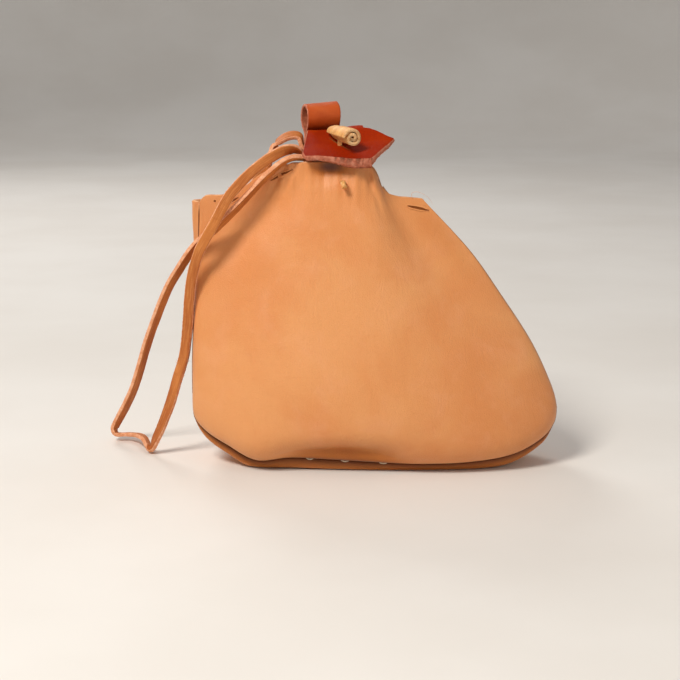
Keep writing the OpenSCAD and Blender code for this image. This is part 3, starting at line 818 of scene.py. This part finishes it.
LOOP_X, LOOP_Y, LOOP_YAW, STRAP_W, STRAP_T = -24.3, 17.2, radians(17), 15.5, 1.3
strap_path = [[17.9, 123.4], [14.75, 132], [14.1, 142], [14.2, 147.5], [15.0, 150.6], [14.6, 152.8],
              [12.4, 155.8], [11.4, 159.6], [12.8, 163.2], [17.0, 164.8], [21.2, 163.2], [22.8, 159.4],
              [21.4, 155.4], [18.4, 152.6], [16.5, 150.3], [15.8, 147.5], [15.7, 142], [16.35, 132],
              [19.4, 123.8]]
STRAP_RINGS, STRAP_POINTS = 220, 34
line = curve(strap_path, np.linspace(0, 1, STRAP_RINGS))
width = np.linspace(-STRAP_W / 2, STRAP_W / 2, STRAP_POINTS)
strap = np.stack([np.repeat(width[None, :], STRAP_RINGS, 0), np.repeat(line[:, :1], STRAP_POINTS, 1),
                  np.repeat(line[:, 1:], STRAP_POINTS, 1)], axis=-1)
yaw = LOOP_YAW * smooth(strap[..., 2], 146, 152)
dx, dy = strap[..., 0].copy(), strap[..., 1] - LOOP_Y
strap[..., 0] = LOOP_X + dx * np.cos(yaw) - dy * np.sin(yaw)
strap[..., 1] = LOOP_Y + dx * np.sin(yaw) + dy * np.cos(yaw)
strap[..., 2] += 0.07 * dx * smooth(strap[..., 2], 150, 158)
strap += normals(strap) * (STRAP_T / 2 + 0.14 * rough(strap, 0.11, 3, 31.0))[..., None]
wear_and_shade = np.repeat((0.3 * np.exp(-(STRAP_W / 2 - np.abs(width)) / 0.5))[None, :], STRAP_RINGS, 0)
# painted shade on the loop's lower front, where it curves in under the roll and faces down
wear_and_shade = wear_and_shade + 0.6 * (1 - smooth(strap[..., 2], 151, 159)) * smooth(strap[..., 2], 140, 150)
belt_strap = sheet("belt_strap", strap, STRAP_T, 1, [red_strap, red_flesh, red_edge], shade=wear_and_shade,
                   ragged=0.12, seed=9.0)
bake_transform(belt_strap)
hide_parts("belt_loop", "belt_loop_tails")

# thread that holds both tails to the back, in two rows
STRAP_RIGHT = LOOP_X + STRAP_W / 2
THREAD_PITCH, STITCH_LEN = 4, 2.5
parts = []
for row_z, first, count, tail_y, strap_y in ((127, -29.7, 6, 14.55, 18.5), (138, -31.2, 4, 13.2, 16.9)):
    for k in range(count):
        xa = first + THREAD_PITCH * k
        xb = xa + STITCH_LEN
        y = strap_y if xb < STRAP_RIGHT + 0.5 else tail_y
        ends = [[xa, y - 0.9, row_z], [xa + 0.15, y + 0.2, row_z], [(xa + xb) / 2, y + 0.42, row_z - 0.1],
                [xb - 0.15, y + 0.2, row_z], [xb, y - 0.9, row_z]]
        parts.append(tube(curve(ends, np.linspace(0, 1, 17)), 0.42, 10, 0.45, 0.16))
strap_thread = make("strap_thread", *joined(parts), [thread_white])
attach(strap_thread, "root")
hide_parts("flap_stitches")

# ---- toggle: a strip of pale leather rolled into a spiral ----

BUTTON = np.array([-13.8, -13.5, 4.6])
BUTTON_TURN, BUTTON_LIFT = radians(-64), radians(15)
TOGGLE_LEN, TOGGLE_R, TURNS = 20.5, 4.9, 2.05


def on_button(p):
    """Points of the toggle's own frame, with its axis along x, in the bag's."""
    q = np.asarray(p, float)
    c, s = cos(BUTTON_LIFT), sin(BUTTON_LIFT)
    q = np.stack([q[..., 0] * c - q[..., 2] * s, q[..., 1], q[..., 0] * s + q[..., 2] * c], axis=-1)
    c, s = cos(BUTTON_TURN), sin(BUTTON_TURN)
    turned = np.stack([q[..., 0] * c - q[..., 1] * s, q[..., 0] * s + q[..., 1] * c, q[..., 2]], axis=-1)
    turned = turned + BUTTON
    over = turned[..., 2] - flap_height(turned[..., 0], turned[..., 1])
    turned[..., 2] += np.where(over < 1.2, 1.2 * np.exp(np.minimum(over - 1.2, 0) / 1.2) - over, 0)
    return in_flap_frame(turned)


STATIONS, STEPS = 44, 120
angle = np.linspace(0, 2 * pi * TURNS, STEPS)
pitch = (TOGGLE_R - 0.8) / TURNS
radius = 0.8 + pitch * angle / (2 * pi)
skin_t = 0.78 * pitch * (1 - 0.65 * smooth(angle, 2 * pi * TURNS - 0.6, 2 * pi * TURNS))
loop_r = np.concatenate([radius, (radius - skin_t)[::-1]])
loop_a = np.concatenate([angle, angle[::-1]])
START = radians(150)
verts, flow = [], []
for k in range(STATIONS):
    xk = (k / (STATIONS - 1) - 0.5) * TOGGLE_LEN
    size = 0.70 + 0.16 * smooth(xk, -10, -6) + 0.10 * smooth(xk, -4.5, 0) + 0.04 * smooth(xk, 4, 8)
    for r, a in zip(loop_r, loop_a):
        slide = (0.45 * sin(a * 0.8 + 0.7) + 0.35 * (1 - a / angle[-1])) * (xk / TOGGLE_LEN * 2) ** 5
        at = np.array([xk - slide, 0, 0])
        wave = 0.10 * noise.noise(Vector((xk * 0.45, cos(a) * 1.5, sin(a) * 1.5 + r)))
        rr = r * size * (1 + 0.045 * cos(2 * a + 0.6)) + wave
        at[1], at[2] = rr * cos(a + START), rr * sin(a + START)
        verts.append(at)
        flow.append((a * r, xk, 0))
m = len(loop_r)
faces, kinds = [], []
for k in range(STATIONS - 1):
    for q in range(m):
        r = (q + 1) % m
        faces.append((k * m + q, (k + 1) * m + q, (k + 1) * m + r, k * m + r))
        kinds.append(0)
for k, flip in ((0, False), (STATIONS - 1, True)):
    for q in range(STEPS - 1):
        f = [k * m + q, k * m + q + 1, k * m + m - 2 - q, k * m + m - 1 - q]
        faces.append(f[::-1] if flip else f)
        kinds.append(1)
faces = [f[::-1] for f in faces]
toggle_roll = make("toggle_roll", on_button(verts), faces, [pale_grain, pale_edge], kinds, flow=flow)
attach(toggle_roll, "toggle")
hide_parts("toggle")

# ---- thong: through the toggle, the buttonhole and the front panel's edge ----

thong_route = [[-15.4, -7.5, 155.6], [-15.4, -6.2, 152], [-15.4, -4.7, 147.8], [-15.4, -3.5, 144.4],
               [-15.3, -3.4, 141], [-15, -4.6, 137.4], [-14.5, -6.6, 134], [-14, -9.3, 132.4],
               [-14, -13, 131.8], [-14, -16.4, 131.6]]
toggle_lace, _, _ = lace("toggle_lace", thong_route, [[1, 0, 0], [1, 0, 0]], 2.0, 1.5, 80,
                         [pale_grain, pale_grain, pale_edge], 3.0)
head = []
for k in range(25):
    a = -0.5 + 1.0 * k / 24
    head.append(on_button([1.2 * sin(a * 2.2) - 0.4, 0.3 * sin(a * 5), 1.6 + 0.4 * cos(a * 2.6)]))
stub = curve([[-14.1, -12.4, 131.9], [-13.9, -14.8, 131.8], [-13.7, -16.6, 131.1], [-13.2, -17.5, 129.9]],
             np.linspace(0, 1, 25))
ends = joined([tube(head, 0.85 * hump(np.linspace(0.06, 0.94, 25), 0.35), 12, 0.1, 0.12),
               tube(stub, 1.25 * np.interp(np.linspace(0, 1, 25), [0, 0.5, 0.9, 1], [0.8, 1.0, 1.05, 0.7]),
                    12, 0.08, 0.2)])
thong_ends = make("thong_ends", *ends, [pale_grain], flow=np.array(ends[0]))
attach(toggle_lace, "root")
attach(thong_ends, "root")
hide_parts("toggle_thong")

# overhand knot inside the neck
a = np.linspace(0, 2 * pi, 90)
knot = np.stack([-14 + 0.75 * (np.sin(a) + 2 * np.sin(2 * a)) * 0.5, -9.4 - 0.75 * np.sin(3 * a) * 0.9,
                 132.4 + 0.75 * (np.cos(a) - 2 * np.cos(2 * a)) * 0.5], axis=-1)
verts, faces = tube(knot, 0.62, 12, 0.15, 0.1)
thong_knot = make("thong_end_knot", verts, faces, [pale_grain], flow=np.array(verts))
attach(thong_knot, "root")
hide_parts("thong_knot")

# ---- drawstring ----

LACE_W, LACE_T = 4.8, 1.9
mouth_run_route = [
    [-20, -5, 138.6], [-18, -1.6, 137], [-12, -1, 135.8], [-5, -3, 132.5], [1, -3.6, 127],
    [5, -2.6, 122.6], [9, -1.6, 119.6], [13.4, -1.4, 117.6], [16.8, -0.4, 116.8], [13.6, 0.6, 117.4],
    [9, 0.8, 119.6], [4, 1.8, 124], [-1, 4, 129.5], [-8, 5, 134], [-16, 5.2, 136],
    [-24, 4, 138], [-29.5, 4.4, 141.4], [-32.6, 4.4, 146.6], [-34, 4.2, 151], [-38.6, 4, 151.2],
    [-43.4, 3.8, 148.4], [-46.2, 3.2, 144], [-50.4, 1.8, 135.4], [-56, 0.6, 126.5],
    [-60, -0.3, 121.5], [-57, -1.3, 120], [-50, -2, 123.5], [-42, -3, 128.5], [-34, -3.6, 133.4],
    [-28.5, -3.2, 136.8], [-24.5, -1.8, 138.6]]
mouth_run_wide = [[0, 0.2, 1], [0, 0, 1], [0, 0, 1], [0, 1, 0.4], [0, 1, 0.2], [0, 1, 0],
                  [0.6, 0.4, 0.7], [0, 0, 1], [0, 0, 1], [0, 0.2, 1]]
lace_faces = [lace_flesh, lace_grain, lace_edge]
mouth_lace, _, _ = lace("mouth_lace", mouth_run_route, mouth_run_wide, LACE_W, LACE_T, 300, lace_faces, 12.0)
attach(mouth_lace, "root")
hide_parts("drawstring_mouth_run")

lace_route = [
    [-22, -0.6, 143.2], [-27, -0.8, 143.4], [-31.6, -1.2, 143.6], [-35.8, -5, 145.9], [-40.5, -9.4, 145.8],
    [-46.2, -12.6, 143.1], [-51.4, -14.6, 139.5], [-56.5, -16, 135.2], [-61.2, -16.5, 130.4],
    [-65.4, -16.5, 125.2], [-71.3, -16, 114.5], [-76.9, -15, 104.6], [-79.6, -13.4, 98.8],
    [-82.6, -10.6, 88.2], [-84.3, -8, 76.4], [-85.3, -6, 65.5], [-87.5, -3, 50.7], [-91.5, 0, 37.9],
    [-95, 2.5, 26.6], [-99.4, 5, 15.2], [-102.9, 6.8, 7.4], [-105, 8.8, 2.9], [-106.9, 11.8, 3],
    [-109.8, 18, 4.6], [-113.4, 26.4, 4], [-119, 32.2, 3], [-124.4, 32, 3.1], [-125.9, 31.8, 5.4],
    [-124.6, 31, 9], [-118.3, 26, 20.7], [-113.1, 21.5, 32.8], [-105.3, 13.5, 56.3], [-95.8, 4, 79.2],
    [-89.2, -2, 90.6], [-81.3, -8, 102], [-70.8, -11.4, 111.8], [-59.8, -13.5, 122.6],
    [-47.3, -13, 135.7], [-37.5, -10.6, 142.4], [-27, -2.6, 141.2]]
lace_turn = [[90], [90], [86], [56], [30], [20], [14], [10], [10], [10], [10], [8], [6], [0], [-6], [-10],
             [-14], [-18], [-24], [-36], [-50], [-70], [-84], [-84], [-88], [-90], [-88], [-74], [-62],
             [-57], [-57], [-57], [-57], [-57], [-58], [-60], [-66], [-74], [-80], [-90]]
FREE_RINGS = 520
free_lace, lace_path, lace_length = lace("free_lace", lace_route, lace_turn, LACE_W, LACE_T, FREE_RINGS,
                                         lace_faces, 40.0)
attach(free_lace, "drawstring")
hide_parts("drawstring")

# loose fibres along the lace's two cut edges
draw = random.Random(7)
p, along, across = route_frames(lace_route, lace_turn, FREE_RINGS)
places, ways = [], []
for _ in range(150):
    k, edge = draw.randrange(40, 500), draw.choice((-1, 1))
    thickness = np.cross(along[k], across[k]) * draw.uniform(-0.6, 0.6)
    places.append(p[k] + across[k] * edge * LACE_W * 0.49 + thickness)
    ways.append(across[k] * edge + along[k] * draw.uniform(-0.8, 0.8))
lace_fibres = make("lace_fibres", *fuzz(places, ways, 1.3, 0.09, 8), [lace_edge])
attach(lace_fibres, "drawstring")

# and along the flap's front edge, with one hair at the right ear
places, ways = [], []
flap_up = normals(flap_grid)[0]
for _ in range(60):
    k = draw.randrange(2, FLAP_COLS - 1)
    places.append(flap_grid[0, k] - (0.2 + 1.6 * draw.random()) * flap_up[k])
    ways.append(np.array([draw.uniform(-0.6, 0.6), -1, draw.uniform(-0.8, 0.4)]))
flap_fibres = make("flap_fibres", *fuzz(places, ways, 1.0, 0.08, 9), [red_edge])
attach(flap_fibres, "flap")
hair = curve([[17.4, -4.4, 123.6], [17.2, -4.8, 126.2], [20.4, -5, 126.6], [24.6, -5, 124.2],
              [26.8, -4.6, 121]], np.linspace(0, 1, 30))
ear_hair = make("ear_hair", *tube(hair, 0.09 * np.linspace(1, 0.4, 30), 6), [tan_edge])
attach(ear_hair, "root")

# ---- floor, lights and background ----


def floor_finish():
    f = Finish("pale_floor")
    at = f.node("TexCoord", out="Object")
    cloud = f.noise(at, 6.0, 4, 0.5)
    colour = f.mix(f.span(cloud, 0.3, 0.7), rgb(226, 221, 214), rgb(232, 228, 222))
    return f.finish(colour, 0.8, f.bump(f.noise(at, 220.0, 3), 0.0002, 0.2), 0.2)


# floor that curves up into a low round wall, the same from every side
FLOOR_R, WALL_R, WALL_H = 1.5, 2.4, 1.3
SEGMENTS, STEPS_UP = 96, 16
verts, faces = [(0, 0, 0)], []
profile = [(FLOOR_R * k / 6, 0) for k in range(1, 7)]
profile += [(FLOOR_R + (WALL_R - FLOOR_R) * sin(pi / 2 * k / STEPS_UP),
             WALL_H * (1 - cos(pi / 2 * k / STEPS_UP))) for k in range(1, STEPS_UP + 1)]
for r, h in profile:
    verts += [(r * cos(2 * pi * q / SEGMENTS), r * sin(2 * pi * q / SEGMENTS), h) for q in range(SEGMENTS)]
faces += [(0, 1 + q, 1 + (q + 1) % SEGMENTS) for q in range(SEGMENTS)]
for k in range(len(profile) - 1):
    for q in range(SEGMENTS):
        a, b = 1 + k * SEGMENTS + q, 1 + k * SEGMENTS + (q + 1) % SEGMENTS
        faces.append((a, a + SEGMENTS, b + SEGMENTS, b))
mesh = bpy.data.meshes.new("floor")
mesh.from_pydata(verts, [], faces)
mesh.polygons.foreach_set("use_smooth", np.ones(len(mesh.polygons), bool))
mesh.materials.append(floor_finish())
floor = bpy.data.objects.new("floor", mesh)
bpy.context.scene.collection.objects.link(floor)

world = bpy.data.worlds.new("studio")
bpy.context.scene.world = world
world.use_nodes = True
world.node_tree.nodes["Background"].inputs[0].default_value = (0.86, 0.86, 0.88, 1)
world.node_tree.nodes["Background"].inputs[1].default_value = 0.38


def area_light(name, at, aim, size, power, colour):
    light = bpy.data.lights.new(name, "AREA")
    light.shape, light.size, light.energy, light.color = "DISK", size, power, colour
    obj = bpy.data.objects.new(name, light)
    obj.location = at
    obj.rotation_euler = (Vector(aim) - Vector(at)).to_track_quat("-Z", "Y").to_euler()
    bpy.context.scene.collection.objects.link(obj)


area_light("key", (-0.50, -0.66, 0.95), (0, 0, 0.06), 0.36, 11.5, (1.0, 0.96, 0.90))
area_light("fill", (0.9, -0.7, 0.45), (0, 0, 0.05), 0.8, 1.2, (1.0, 0.97, 0.94))
area_light("back", (-0.5, 1.0, 0.9), (0, 0, 0.08), 0.6, 6, (1.0, 0.98, 0.96))
bpy.context.scene.view_settings.view_transform = "Standard"
